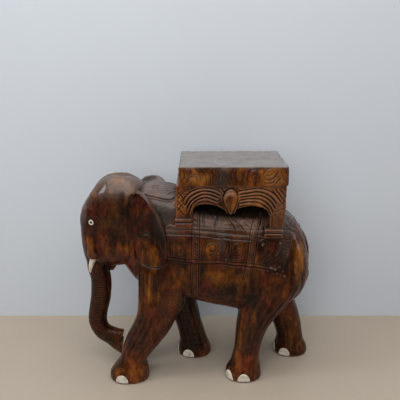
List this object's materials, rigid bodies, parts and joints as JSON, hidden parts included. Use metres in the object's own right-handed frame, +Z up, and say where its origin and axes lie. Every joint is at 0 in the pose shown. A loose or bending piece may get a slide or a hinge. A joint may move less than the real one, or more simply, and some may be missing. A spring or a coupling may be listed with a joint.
{
  "type": "carved wooden elephant figurine",
  "caption": "Walking elephant carved in wood as a stool: saddle blanket, arcaded stand and thick flat seat board on its back, with pale inlaid tusks, eyes and toenails.",
  "frame": {"origin": "on the floor, at the middle of the footprint's bounding box", "axes": "+Z up, the head points to -X, the elephant's left side is -Y and its right side is +Y"},
  "size_m": [0.6169, 0.2159, 0.58],
  "materials": {
    "wood": "glossy clear varnish over a stained reddish-brown hardwood",
    "dowel": "plain turned hardwood, hidden",
    "bone": "cream bone, polished",
    "pupil": "black, polished"
  },
  "bodies": {
    "root": {"body": "wood", "ear_left": "wood", "ear_right": "wood", "stand": "wood", "seat_board": "wood", "ear_pegs": "dowel", "stand_dowels": "dowel", "seat_dowels": "dowel", "tusk_left": "bone", "tusk_right": "bone", "eye_left": "bone", "eye_right": "bone", "toenail_front_left_outer": "bone", "toenail_front_left_middle": "bone", "toenail_front_left_inner": "bone", "toenail_front_right_outer": "bone", "toenail_front_right_middle": "bone", "toenail_front_right_inner": "bone", "toenail_hind_left_outer": "bone", "toenail_hind_left_middle": "bone", "toenail_hind_left_inner": "bone", "toenail_hind_right_outer": "bone", "toenail_hind_right_middle": "bone", "toenail_hind_right_inner": "bone", "pupil_left": "pupil", "pupil_right": "pupil"}
  },
  "joints": []
}
